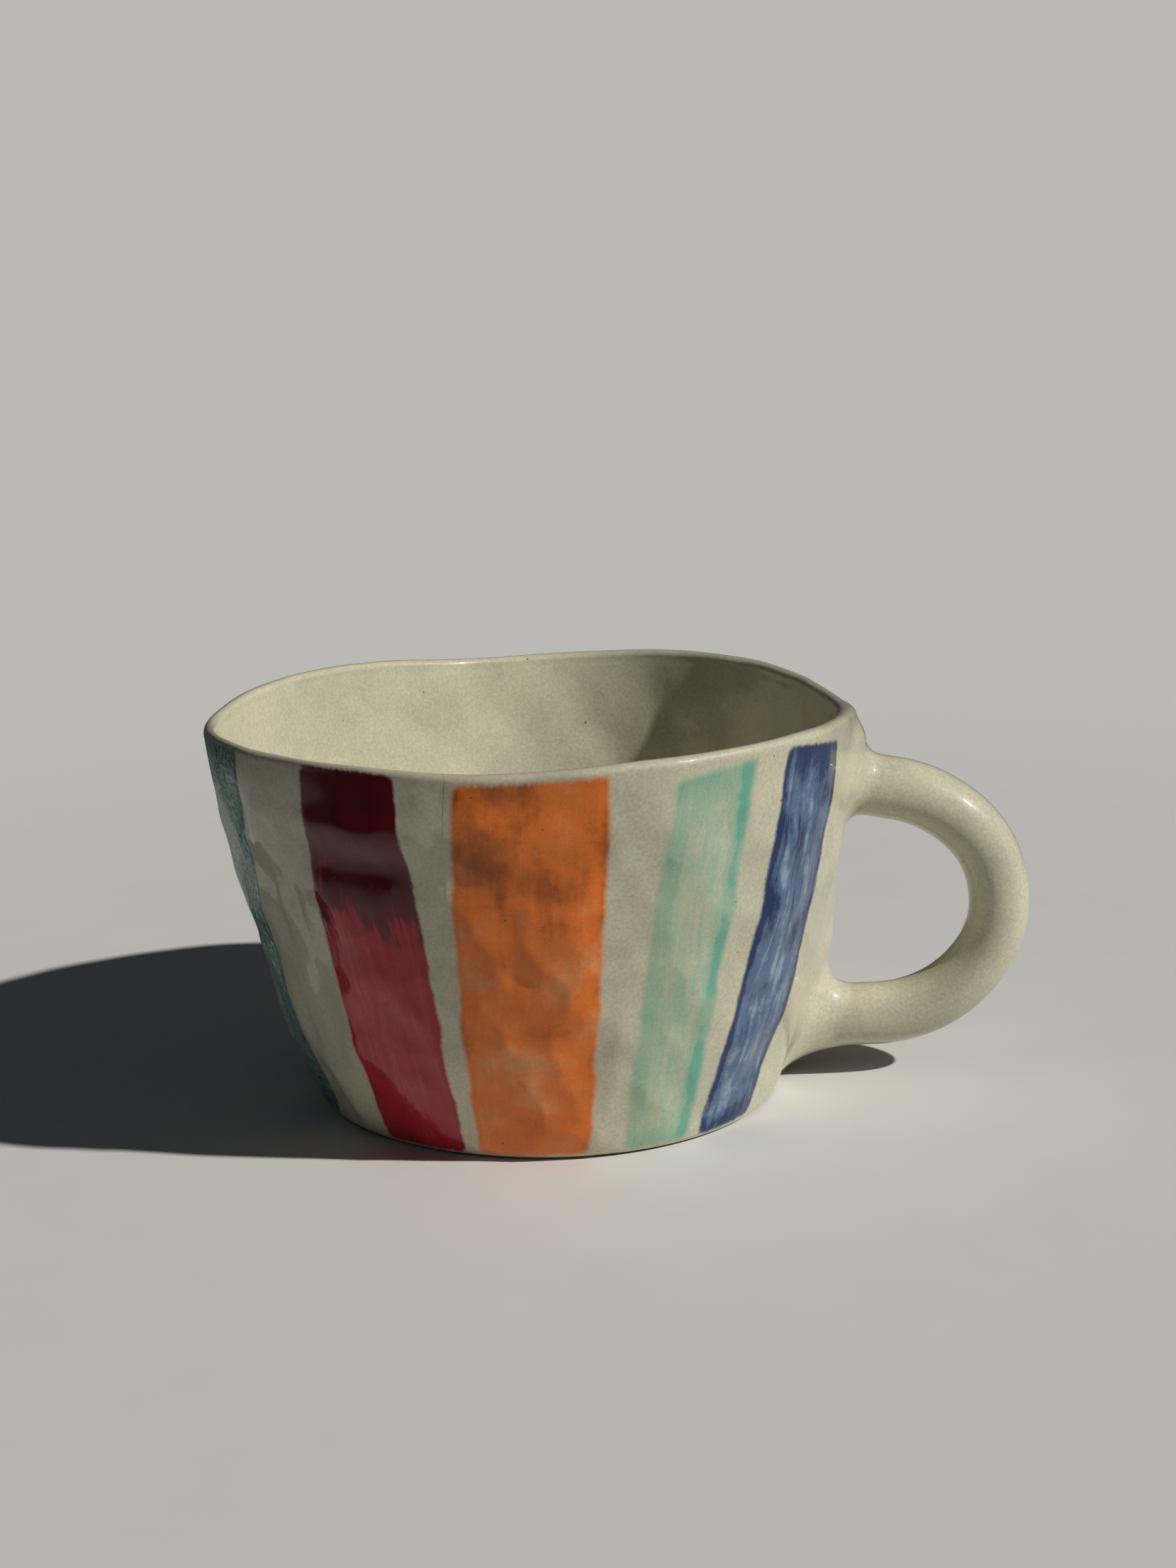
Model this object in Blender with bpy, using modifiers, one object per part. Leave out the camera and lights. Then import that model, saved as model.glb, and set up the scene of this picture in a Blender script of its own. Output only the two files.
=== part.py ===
"""Hand-built ceramic mug: a pinched wall luted round a base slab, a coil handle and brushed stripes.

Metres, +Z up. The origin is the middle of the underside. The handle points along +X.
Angles run anticlockwise seen from above, with 0 at the handle's side.
"""
import math

import bmesh
import bpy
from mathutils import Matrix, Vector

# The cup's mean form.
RIM_RADIUS = 0.0560
BASE_RADIUS = 0.0389
HEIGHT = 0.0683
BELLY = 0.0025
RIM_SHIFT = (0.0018, -0.0003)

# How far the hand-pinched form strays from round: (waves a turn, cosine part, sine part).
RIM_WAVES = ((2, -0.0016, 0.0014), (3, -0.0014, -0.0014))
BASE_WAVES = ((2, 0.0011, -0.0020),)
LIP_WAVES = ((1, -0.0018, -0.0008), (2, 0.0001, -0.0007), (3, -0.0002, 0.0002), (4, -0.0005, -0.0002))

# Clay thicknesses and corners.
LIP_THICKNESS = 0.0024
WALL_THICKNESS = 0.0042
CORNER_RADIUS = 0.0025
COVE_RADIUS = 0.0050
SLAB_RADIUS = 0.0350
SLAB_THICKNESS = 0.0060
SLAB_EDGE = 0.0004
GAP = 0.0003

# The strip of clay smeared on the wall where the handle sits: how far it stands out, by height.
SEAT_WIDTH = 0.0072
SEAT_STANDS = ((0.0, 0.0), (0.006, 0.0006), (0.014, 0.0020), (0.024, 0.0031), (0.031, 0.0024),
               (0.039, 0.0011), (0.046, 0.0014), (0.056, 0.0030), (0.062, 0.0030), (0.068, 0.0006))
SEAT_DEPTH = 0.0020

# The painted skins.
PAINT_THICKNESS = 0.00035
STRIPE_COLUMNS = 5
STRIPE_ROWS = 14

# The handle: an upright ellipse with straight runs into the wall, turned a little from +X.
HANDLE_ANGLE = math.radians(-4.0)
COIL_RADIUS = 0.0053
LOOP_CENTRE = (0.0575, 0.0310)
LOOP_REACH = 0.0223
LOOP_RISE = 0.0204
LOOP_START = math.radians(78.0)
LOWER_COIL_END = 0.0510
LOOP_STEPS = 24
COIL_SIDES_RESOLUTION = 4

# The soft clay pressed round each end of the handle.
JOINT_SIDES = 20
JOINT_RINGS = 6
JOINT_BACK_RINGS = 3
UPPER_JOINT = {"height": 0.0523, "up": 0.0065, "down": 0.0035, "side": 0.0042}
LOWER_JOINT = {"height": 0.0112, "up": 0.0050, "down": 0.0042, "side": 0.0050}

TURN_STEPS = 64

# Glaze and underglaze colours, linear, with roughness.
MATERIALS = {
    "cream_glaze": ((0.56, 0.52, 0.38), 0.25),
    "crimson_underglaze": ((0.22, 0.025, 0.035), 0.25),
    "orange_underglaze": ((0.60, 0.17, 0.04), 0.25),
    "mint_underglaze": ((0.30, 0.48, 0.36), 0.25),
    "cobalt_underglaze": ((0.035, 0.075, 0.22), 0.25),
    "teal_underglaze": ((0.10, 0.24, 0.22), 0.25),
}

# Each stripe's edges as angles in degrees at the rim, half way down and at the foot.
STRIPES = (
    ("stripe_crimson", "crimson_underglaze", (-130.6, -132.0, -135.6), (-112.8, -110.8, -110.9)),
    ("stripe_orange", "orange_underglaze", (-102.7, -105.3, -107.3), (-78.5, -79.2, -80.4)),
    ("stripe_mint", "mint_underglaze", (-66.8, -70.7, -71.4), (-52.7, -55.6, -55.7)),
    ("stripe_cobalt", "cobalt_underglaze", (-45.8, -49.3, -53.5), (-27.8, -31.3, -37.5)),
    ("stripe_teal", "teal_underglaze", (-167.5, -171.0, -174.0), (-147.0, -154.5, -157.5)),
    ("back_stripe_cobalt", "cobalt_underglaze", (159.0, 157.5, 155.0), (174.0, 171.5, 168.0)),
    ("back_stripe_mint", "mint_underglaze", (128.5, 128.0, 127.0), (144.0, 143.0, 141.0)),
    ("back_stripe_orange", "orange_underglaze", (92.5, 93.5, 94.0), (115.5, 116.5, 117.0)),
    ("back_stripe_crimson", "crimson_underglaze", (64.0, 66.0, 67.0), (81.5, 82.5, 85.0)),
    ("back_stripe_teal", "teal_underglaze", (35.5, 39.0, 42.0), (52.5, 55.0, 58.0)),
)
STRIPE_TOP = 0.972
STRIPE_FOOT = 0.040


def clear_scene():
    """Remove every object that is in the scene."""
    for item in list(bpy.data.objects):
        bpy.data.objects.remove(item, do_unlink=True)


def wave(angle, terms):
    """Sum a few sine waves round the cup."""
    return sum(c * math.cos(n * angle) + s * math.sin(n * angle) for n, c, s in terms)


def mean_radius(share):
    """The round cup's outer radius at a share of its height."""
    return BASE_RADIUS + (RIM_RADIUS - BASE_RADIUS) * share + BELLY * 4.0 * share * (1.0 - share)


def eased(value, steps):
    """Read a value from a short list of (place, amount) steps, eased from each step to the next."""
    for (low, low_amount), (high, high_amount) in zip(steps, steps[1:]):
        if value <= high:
            share = max(0.0, (value - low) / (high - low))
            share = share * share * (3.0 - 2.0 * share)
            return low_amount + (high_amount - low_amount) * share
    return steps[-1][1]


def seat_stand(angle, share, inset):
    """How far the handle's seat stands out of the wall. It fades out below the skin."""
    around = math.remainder(angle - HANDLE_ANGLE, math.tau) * mean_radius(share) / SEAT_WIDTH
    fade = max(0.0, 1.0 - max(0.0, inset) / SEAT_DEPTH)
    return eased(share * HEIGHT, SEAT_STANDS) * math.exp(-around * around) * fade


def pinched(angle, share, inset=0.0):
    """A point of the hand-pinched form, at an angle and a share of the height, inset from its skin."""
    stray = (1.0 - share) * wave(angle, BASE_WAVES) + share * wave(angle, RIM_WAVES)
    radius = mean_radius(share) + stray + seat_stand(angle, share, inset) - inset
    height = share * (HEIGHT + wave(angle, LIP_WAVES))
    return Vector((radius * math.cos(angle) + share * RIM_SHIFT[0],
                   radius * math.sin(angle) + share * RIM_SHIFT[1], height))


def pinch_mesh(mesh):
    """Push a mesh that was made round into the hand-pinched form."""
    for vertex in mesh.vertices:
        share = vertex.co.z / HEIGHT
        angle = math.atan2(vertex.co.y, vertex.co.x)
        inset = mean_radius(share) - math.hypot(vertex.co.x, vertex.co.y)
        vertex.co = pinched(angle, share, inset)


def material(name):
    """The named glaze as a Principled material."""
    found = bpy.data.materials.get(name)
    if found:
        return found
    colour, roughness = MATERIALS[name]
    made = bpy.data.materials.new(name)
    made.use_nodes = True
    shader = made.node_tree.nodes["Principled BSDF"]
    shader.inputs["Base Color"].default_value = (*colour, 1.0)
    shader.inputs["Roughness"].default_value = roughness
    shader.inputs["Metallic"].default_value = 0.0
    return made


def add_part(name, mesh, slot, collection):
    """Put a mesh in the scene as a named sub-part."""
    mesh.name = name
    mesh.materials.clear()
    mesh.materials.append(material(slot))
    part = bpy.data.objects.new(name, mesh)
    collection.objects.link(part)
    return part


def evaluated_mesh(item):
    """The item's mesh with its modifiers or bevel applied. The item is removed."""
    bpy.context.view_layer.update()
    graph = bpy.context.evaluated_depsgraph_get()
    mesh = bpy.data.meshes.new_from_object(item.evaluated_get(graph))
    bpy.data.objects.remove(item, do_unlink=True)
    return mesh


def arc(centre, radius, start, end, steps):
    """Points on an arc in the profile plane, with its angles in degrees."""
    points = []
    for step in range(steps + 1):
        turn = math.radians(start + (end - start) * step / steps)
        points.append((centre[0] + radius * math.cos(turn), centre[1] + radius * math.sin(turn)))
    return points


def wall_thickness(share):
    """The wall thins from its foot to its lip."""
    return WALL_THICKNESS + (LIP_THICKNESS - WALL_THICKNESS) * min(1.0, share) ** 1.3


def wall_profile():
    """The wall's closed section: lip, outer side down, foot, inner side up."""
    lip = LIP_THICKNESS / 2.0
    lip_share = 1.0 - lip / HEIGHT
    lip_centre = (mean_radius(lip_share) - lip, HEIGHT - lip)
    points = arc(lip_centre, lip, 90.0, 0.0, 3)
    for share in (0.9, 0.8, 0.7, 0.6, 0.5, 0.4, 0.3, 0.2, 0.12):
        points.append((mean_radius(share), share * HEIGHT))
    corner_share = CORNER_RADIUS / HEIGHT
    corner_centre = (mean_radius(corner_share) - CORNER_RADIUS, CORNER_RADIUS)
    points += arc(corner_centre, CORNER_RADIUS, 0.0, -90.0, 3)
    points.append((SLAB_RADIUS + GAP, 0.0))
    cove_share = (SLAB_THICKNESS + COVE_RADIUS) / HEIGHT
    cove_top = mean_radius(cove_share) - wall_thickness(cove_share)
    cove_centre = (cove_top - COVE_RADIUS, SLAB_THICKNESS + COVE_RADIUS)
    lowest = -math.degrees(math.acos((SLAB_RADIUS + GAP - cove_centre[0]) / COVE_RADIUS))
    points += arc(cove_centre, COVE_RADIUS, lowest, 0.0, 3)
    for share in (0.26, 0.37, 0.48, 0.59, 0.7, 0.8, 0.9):
        points.append((mean_radius(share) - wall_thickness(share), share * HEIGHT))
    return points + arc(lip_centre, lip, 180.0, 120.0, 2)


def build_wall(collection):
    """The pinched wall: its section turned with a Screw modifier, then pushed out of round."""
    profile = wall_profile()
    mesh = bpy.data.meshes.new("wall_section")
    edges = [(i, (i + 1) % len(profile)) for i in range(len(profile))]
    mesh.from_pydata([(r, 0.0, z) for r, z in profile], edges, [])
    section = bpy.data.objects.new("wall_section", mesh)
    collection.objects.link(section)
    screw = section.modifiers.new("turn", "SCREW")
    screw.axis = "Z"
    screw.angle = math.tau
    screw.steps = TURN_STEPS
    screw.render_steps = TURN_STEPS
    screw.use_merge_vertices = True
    screw.merge_threshold = 0.00001
    turned = evaluated_mesh(section)
    pinch_mesh(turned)
    wall = add_part("body_wall", turned, "cream_glaze", collection)
    wall.data.shade_smooth()
    wall.data.set_sharp_from_angle(angle=math.radians(50.0))


def build_base(collection):
    """The base slab: a flat disc that the wall stands round."""
    bpy.ops.mesh.primitive_cylinder_add(vertices=TURN_STEPS, radius=SLAB_RADIUS, depth=SLAB_THICKNESS,
                                        location=(0.0, 0.0, 0.0))
    disc = bpy.context.object
    mesh = disc.data.copy()
    bpy.data.objects.remove(disc, do_unlink=True)
    mesh.transform(Matrix.Translation((0.0, 0.0, SLAB_THICKNESS / 2.0)))
    pinch_mesh(mesh)
    slab = add_part("base_slab", mesh, "cream_glaze", collection)
    edge = slab.modifiers.new("edge", "BEVEL")
    edge.width = SLAB_EDGE
    edge.segments = 1
    edge.limit_method = "ANGLE"


def handle_plane(reach, height, side=0.0):
    """A point in the handle's upright plane, or a little to one side of it."""
    return Vector((reach * math.cos(HANDLE_ANGLE) - side * math.sin(HANDLE_ANGLE),
                   reach * math.sin(HANDLE_ANGLE) + side * math.cos(HANDLE_ANGLE), height))


def coil_path():
    """The coil's centre line: round the loop from its upper joint, then straight in to its lower joint."""
    points = []
    for step in range(LOOP_STEPS + 1):
        turn = LOOP_START - (LOOP_START + math.pi / 2.0) * step / LOOP_STEPS
        points.append(handle_plane(LOOP_CENTRE[0] + LOOP_REACH * math.cos(turn),
                                   LOOP_CENTRE[1] + LOOP_RISE * math.sin(turn)))
    points.append(handle_plane(LOWER_COIL_END, LOOP_CENTRE[1] - LOOP_RISE))
    return points


def build_handle(points, collection):
    """The handle's coil: a bevelled curve round the finger loop."""
    path = bpy.data.curves.new("handle_path", "CURVE")
    path.dimensions = "3D"
    path.bevel_depth = COIL_RADIUS
    path.bevel_resolution = COIL_SIDES_RESOLUTION
    path.use_fill_caps = True
    spline = path.splines.new("POLY")
    spline.points.add(len(points) - 1)
    for control, point in zip(spline.points, points):
        control.co = (*point, 1.0)
    path.materials.append(material("cream_glaze"))
    coil = bpy.data.objects.new("handle_coil", path)
    collection.objects.link(coil)


def wall_reach(height):
    """How far the wall stands from the axis in the handle's plane."""
    share = height / (HEIGHT + wave(HANDLE_ANGLE, LIP_WAVES))
    return pinched(HANDLE_ANGLE, share).to_2d().length


def on_wall(side, height):
    """A point just clear of the wall, off to one side of the handle's plane."""
    angle = HANDLE_ANGLE + side / wall_reach(height)
    share = height / (HEIGHT + wave(angle, LIP_WAVES))
    return pinched(angle, share, -GAP)


def joint_point(ring, turn, joint, coil_end, into_wall):
    """A point of a joint's clay. Rings run from the coil's end, out along the wall, then behind it."""
    across = math.cos(turn)
    upward = math.sin(turn)
    sideways = handle_plane(0.0, 0.0, 1.0)
    up_the_coil = sideways.cross(into_wall)
    spread = COIL_RADIUS + (joint["up"] if upward > 0.0 else joint["down"])
    hem_side = (COIL_RADIUS + joint["side"]) * across
    if ring >= JOINT_RINGS:
        share = 1.0 - (ring - JOINT_RINGS + 1) / (JOINT_BACK_RINGS + 1)
        return on_wall(hem_side * share, joint["height"] + spread * upward * share)
    start = coil_end + into_wall * GAP + COIL_RADIUS * (across * sideways + upward * up_the_coil)
    foot = on_wall(COIL_RADIUS * across, joint["height"] + COIL_RADIUS * upward)
    hem = on_wall(hem_side, joint["height"] + spread * upward)
    share = ring / (JOINT_RINGS - 1)
    return start.lerp(foot, share).lerp(foot.lerp(hem, share), share)


def build_joint(name, joint, coil_end, coil_next, collection):
    """Clay pressed round one end of the handle, lofted from the coil's round end to the wall."""
    into_wall = (coil_end - coil_next).normalized()
    turns = [math.tau * index / JOINT_SIDES for index in range(JOINT_SIDES)]
    bm = bmesh.new()
    rings = []
    for ring in range(JOINT_RINGS + JOINT_BACK_RINGS):
        rings.append([bm.verts.new(joint_point(ring, turn, joint, coil_end, into_wall)) for turn in turns])
    for first, second in zip(rings, rings[1:]):
        for index in range(JOINT_SIDES):
            after = (index + 1) % JOINT_SIDES
            bm.faces.new((first[index], second[index], second[after], first[after]))
    bm.faces.new(rings[0])
    middle = bm.verts.new(on_wall(0.0, joint["height"]))
    for index in range(JOINT_SIDES):
        bm.faces.new((rings[-1][(index + 1) % JOINT_SIDES], rings[-1][index], middle))
    mesh = bpy.data.meshes.new(name)
    bm.to_mesh(mesh)
    bm.free()
    part = add_part(name, mesh, "cream_glaze", collection)
    part.data.shade_smooth()
    part.data.set_sharp_from_angle(angle=math.radians(50.0))


def edge_angle(edge, share):
    """A stripe edge's angle at a share of the height, on a curve through its three stated angles."""
    rim, middle, foot = (math.radians(value) for value in edge)
    return (rim * share * (2.0 * share - 1.0) + middle * 4.0 * share * (1.0 - share)
            + foot * (1.0 - share) * (1.0 - 2.0 * share))


def build_stripe(name, slot, left, right, collection):
    """One brushed stripe: a grid bent round the wall, with Solidify for its thickness."""
    bm = bmesh.new()
    bmesh.ops.create_grid(bm, x_segments=STRIPE_COLUMNS, y_segments=STRIPE_ROWS, size=1.0)
    for vertex in bm.verts:
        across = (vertex.co.x + 1.0) / 2.0
        share = STRIPE_FOOT + (STRIPE_TOP - STRIPE_FOOT) * (vertex.co.y + 1.0) / 2.0
        angle = edge_angle(left, share) * (1.0 - across) + edge_angle(right, share) * across
        vertex.co = pinched(angle, share, -GAP)
    mesh = bpy.data.meshes.new(name)
    bm.to_mesh(mesh)
    bm.free()
    stripe = add_part(name, mesh, slot, collection)
    skin = stripe.modifiers.new("thickness", "SOLIDIFY")
    skin.thickness = PAINT_THICKNESS
    skin.offset = 1.0


def main():
    """Build the mug's pieces."""
    clear_scene()
    collection = bpy.data.collections.new("ceramic_mug")
    bpy.context.scene.collection.children.link(collection)
    build_base(collection)
    build_wall(collection)
    path = coil_path()
    build_handle(path, collection)
    build_joint("handle_upper_joint", UPPER_JOINT, path[0], path[1], collection)
    build_joint("handle_lower_joint", LOWER_JOINT, path[-1], path[-2], collection)
    for name, slot, left, right in STRIPES:
        build_stripe(name, slot, left, right, collection)


main()
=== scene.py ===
"""The looks of a hand-built ceramic mug: pinched glazed clay, a coil handle and brushed stripes."""
import math

import bpy
import numpy as np
from mathutils import Matrix, Vector


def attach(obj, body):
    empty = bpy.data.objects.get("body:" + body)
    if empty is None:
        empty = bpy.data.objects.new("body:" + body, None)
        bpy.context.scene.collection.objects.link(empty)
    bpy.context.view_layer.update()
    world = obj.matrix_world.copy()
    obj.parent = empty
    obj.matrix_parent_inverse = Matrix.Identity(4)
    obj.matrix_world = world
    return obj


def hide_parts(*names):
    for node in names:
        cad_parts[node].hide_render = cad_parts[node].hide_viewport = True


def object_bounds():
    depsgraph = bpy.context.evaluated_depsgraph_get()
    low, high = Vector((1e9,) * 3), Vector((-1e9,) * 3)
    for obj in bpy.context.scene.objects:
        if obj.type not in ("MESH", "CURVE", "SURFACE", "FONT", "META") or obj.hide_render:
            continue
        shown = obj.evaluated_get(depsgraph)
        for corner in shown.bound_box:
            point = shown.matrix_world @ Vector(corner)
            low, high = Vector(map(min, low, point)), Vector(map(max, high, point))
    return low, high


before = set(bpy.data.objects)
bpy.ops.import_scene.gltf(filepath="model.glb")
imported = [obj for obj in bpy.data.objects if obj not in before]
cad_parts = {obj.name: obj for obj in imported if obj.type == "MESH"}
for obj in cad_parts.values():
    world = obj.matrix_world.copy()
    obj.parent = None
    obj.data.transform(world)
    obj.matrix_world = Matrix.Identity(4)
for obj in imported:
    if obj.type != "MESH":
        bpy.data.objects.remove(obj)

CAD_BOX = [list(corner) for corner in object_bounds()]
MM = 0.001

# The form: the CAD's, apart from the lip's single dips and rises, and a seat that stands out further low
# down. Waves are (waves a turn, cosine part, sine part).
RIM_RADIUS = 0.0560
BASE_RADIUS = 0.0389
HEIGHT = 0.0683
BELLY = 0.0025
RIM_SHIFT = (0.0018, -0.0003)
RIM_WAVES = ((2, -0.0016, 0.0014), (3, -0.0014, -0.0014))
BASE_WAVES = ((2, 0.0011, -0.0020),)
LIP_WAVES = ((1, -0.0018, -0.0008), (2, 0.0001, -0.0007), (3, -0.0002, 0.0002), (4, -0.0005, -0.0002))
# Dips and rises that single fingers left in the lip: angle and half-width in degrees, and the rise.
LIP_DIPS = ((-104.0, 13.0, -0.0004), (-74.0, 11.0, 0.0004), (-150.0, 13.0, 0.0004), (-172.0, 9.0, -0.0003),
            (104.0, 12.0, -0.0004), (64.0, 14.0, 0.0003))
LIP_THICKNESS = 0.0024
WALL_THICKNESS = 0.0042
WALL_TAPER = 1.3
CORNER_RADIUS = 0.0025
FOOT_LEAN = math.atan((RIM_RADIUS - BASE_RADIUS + 4.0 * BELLY) / HEIGHT)
COVE_RADIUS = 0.0080
FLOOR_LEVEL = 0.0060
FLOOR_CUT = 0.0310
UNDERSIDE_RISE = 0.0004

# The handle: its seat on the wall as (height, how far it stands out), its coil, and the loop in its own plane
# as (distance from the cup's axis, height).
HANDLE_ANGLE = math.radians(-4.0)
SEAT_WIDTH = 0.0072
SEAT_DEPTH = 0.0020
SEAT_STANDS = ((0.0, 0.0), (0.006, 0.0013), (0.014, 0.0023), (0.024, 0.0031), (0.031, 0.0024),
               (0.039, 0.0011), (0.046, 0.0014), (0.056, 0.0030), (0.062, 0.0030), (0.068, 0.0006))
COIL_RADIUS = 0.0053
LOOP_CENTRE = (0.0575, 0.0310)
LOOP_REACH = 0.0223
LOOP_RISE = 0.0204
LOOP_START = math.radians(78.0)
LOWER_COIL_END = 0.0545
STRAIGHT_RINGS = 6
# The coil's uneven radius: amount, how fast it changes along and round the coil, and where it starts.
COIL_WOBBLES = ((0.022, 7.0, 0.0, 0.6), (0.014, 5.0, 2.0, 0.0), (0.008, 23.0, 1.0, 0.0))

# How far each joint's clay runs along the coil and spreads over the wall, as (up, side, down), and how full
# it is: 0 is a hollow curve and 1 a straight slope.
UPPER_FILLET = {"along": (0.0035, 0.0035, 0.0030), "spread": (0.0040, 0.0042, 0.0032), "fullness": 0.0}
LOWER_FILLET = {"along": (0.0070, 0.0060, 0.0110), "spread": (0.0056, 0.0056, 0.0042), "fullness": 0.35}
# A joint's curve takes up at most this share of its way to the wall. Then the rings before the curve, the
# hem's width, and how deep the hem and the buried end's middle lie.
FILLET_SHARE = 0.9
FILLET_STARTS = (0.33, 0.67)
HEM_WIDTH = 0.0006
HEM_SINK = 0.00012
CORE_SINK = 0.0012
# Rounds of closing in on the wall.
SLIDE_ROUNDS = 8
ANGLE_ROUNDS = 3

# Thumb marks in the clay: rows of soft hollows, each about 11 mm across, and small ones half that size.
MARK_ROWS = (0.007, 0.021, 0.036, 0.050, 0.063)
MARKS_A_ROW = 19
MARK_SIZE = 0.0108
MARK_DEPTH = 0.00085
INNER_MARK_DEPTH = 0.00050
MARK_SHARPNESS = 4.5
# How far marks stray, as shares of their spacing and size, and how their sizes and weights vary.
MARK_STRAY_ROUND = 0.36
MARK_STRAY_UP = 0.37
MARK_SIZES = (0.75, 1.25)
MARK_WEIGHT_STRAY = 1.1
# A hollow's shape is cut off below and above these, and is level with the skin at its middle value.
HOLLOW_LIMITS = (-0.4, 1.2)
HOLLOW_MIDDLE = 0.40
SMALL_MARK_ROWS = tuple(0.0035 + 0.0066 * row for row in range(10))
SMALL_MARKS_A_ROW = 44
SMALL_MARK_SIZE = 0.0052
SMALL_MARK_DEPTH = 0.00028
# Marks fade out at the foot and are fainter near the lip.
FOOT_FADE = 0.006
LIP_FADE_START = 0.058
LIP_FADE_HEIGHT = 0.010
LIP_EVENNESS = 0.60
# A fine unevenness: waves a turn, the height over which the wave turns by a radian, and where it starts.
RIPPLES = ((9.0, 0.0047, 0.0), (23.0, -0.0031, 0.0), (15.0, 0.0093, 1.7))
RIPPLE_DEPTH = 0.00006
# The floor's unevenness: its depth, its waves a turn and its twist from the middle to the edge.
FLOOR_RIPPLE_DEPTH = 0.00012
FLOOR_RIPPLE = (3.0, 9.0)

# Single marks: angle in degrees, height, half-width, half-height, and how far it stands out.
SINGLE_MARKS = (
    (-93.6, 0.0344, 0.0024, 0.0022, -0.00032),
    (-117.0, 0.0700, 0.0170, 0.0055, -0.00160),
    (-150.0, 0.0700, 0.0160, 0.0050, -0.00130),
    (-106.0, 0.0580, 0.0045, 0.0034, 0.00020),
    (-100.5, 0.0560, 0.0038, 0.0026, 0.00030),
    (-100.0, 0.0505, 0.0042, 0.0030, -0.00028),
    (-88.0, 0.0440, 0.0050, 0.0060, 0.00030),
    (-121.0, 0.0586, 0.0110, 0.0027, 0.00070),
    (-121.5, 0.0526, 0.0100, 0.0025, -0.00075),
    (-121.0, 0.0467, 0.0095, 0.0032, 0.00060),
    (-134.0, 0.0560, 0.0030, 0.0034, -0.00045),
    (-144.0, 0.0560, 0.0022, 0.0090, 0.00035),
    (-140.5, 0.0420, 0.0020, 0.0090, 0.00035),
    (-143.5, 0.0240, 0.0025, 0.0120, 0.00030),
    (-20.0, 0.0390, 0.0020, 0.0060, 0.00045),
)

# Each stripe: its edges as angles in degrees at the rim, half way down and at the foot, then how far its
# top lies below the rim and its foot above the ground, at its left and its right edge.
STRIPES = (
    ("stripe_crimson", "crimson", (-130.6, -132.0, -135.6), (-112.8, -110.8, -110.9),
     (0.0006, 0.0007), (0.0011, 0.0009)),
    ("stripe_orange", "orange", (-102.7, -105.3, -107.3), (-78.5, -79.2, -80.4),
     (0.0015, 0.0015), (0.0011, 0.0011)),
    ("stripe_mint", "mint", (-66.8, -70.7, -71.4), (-52.7, -55.6, -55.7),
     (0.0034, 0.0020), (0.0012, 0.0014)),
    ("stripe_cobalt", "cobalt", (-45.8, -49.3, -53.5), (-27.8, -31.3, -37.5),
     (0.0015, 0.0032), (0.0009, 0.0016)),
    ("stripe_teal", "teal", (-167.5, -171.0, -174.0), (-146.0, -151.5, -156.0),
     (0.0009, 0.0008), (0.0016, 0.0013)),
    ("back_stripe_cobalt", "cobalt", (159.0, 157.5, 155.0), (174.0, 171.5, 168.0),
     (0.0020, 0.0016), (0.0014, 0.0011)),
    ("back_stripe_mint", "mint", (128.5, 128.0, 127.0), (144.0, 143.0, 141.0),
     (0.0017, 0.0024), (0.0011, 0.0015)),
    ("back_stripe_orange", "orange", (92.5, 93.5, 94.0), (115.5, 116.5, 117.0),
     (0.0011, 0.0013), (0.0012, 0.0010)),
    ("back_stripe_crimson", "crimson", (64.0, 66.0, 67.0), (81.5, 82.5, 85.0),
     (0.0010, 0.0007), (0.0010, 0.0012)),
    ("back_stripe_teal", "teal", (35.5, 39.0, 42.0), (52.5, 55.0, 58.0),
     (0.0018, 0.0012), (0.0013, 0.0016)),
)
# A stripe's skin: how far it runs past its paint, its cells, how far it stands out of the clay and sinks into
# it at its border, its depth, the border's width, and how far it bends over the lip and under the foot.
PATCH_MARGIN = 0.0016
PATCH_CELL = 0.00042
PATCH_LIFT = 0.00004
PATCH_SINK = 0.00012
PATCH_DEPTH = 0.00030
PATCH_FEATHER = 0.0005
PATCH_OVER_LIP = math.radians(60.0)
PATCH_UNDER_FOOT = math.radians(72.0)
PATCH_BEND_STEPS = 6

# How finely each form is divided. The lip's section is an arc between two angles in degrees, and the runs on
# either side stop short of it by a small share of the height.
CUP_STEPS = 440
FLOOR_STEPS = 3
COVE_STEPS = 12
INSIDE_STEPS = 64
LIP_STEPS = 15
LIP_ARC = (188.0, -6.0)
LIP_ARC_ROOM = (0.004, 0.003)
OUTSIDE_STEPS = 84
CORNER_STEPS = 9
UNDER_STEPS = 6
BASE_RINGS = 26
BASE_CENTRE = 0.0008
COIL_SIDES = 56
COIL_RINGS = 130
FLARE_RINGS = 16
CREASE = 55.0

# Where the lip's glaze is thin, down from the top, where the foot is bare, up from the ground, where the
# underside's rise eases out, and the share of the height below which the base slab is underside.
THIN_LIP_HEIGHT = 0.0012
BARE_LEVEL = 0.0002
BARE_EASE = 0.0007
RISE_REACH = 0.020
RISE_EASE = 0.009
UNDERSIDE_SHARE = 0.05

# Linear colours, and how strongly a speck shows on the glaze and on paint.
CREAM = (0.61, 0.580, 0.430)
CREAM_GREY = (0.53, 0.512, 0.388)
SPECK = (0.13, 0.085, 0.05)
BARE_CLAY = (0.47, 0.37, 0.27)
BARE_CLAY_DARK = tuple(part * 0.8 for part in BARE_CLAY)
LIP_CLAY = (0.47, 0.42, 0.31)
SPECK_ON_GLAZE = 0.75
SPECK_ON_PAINT = 0.70

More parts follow.
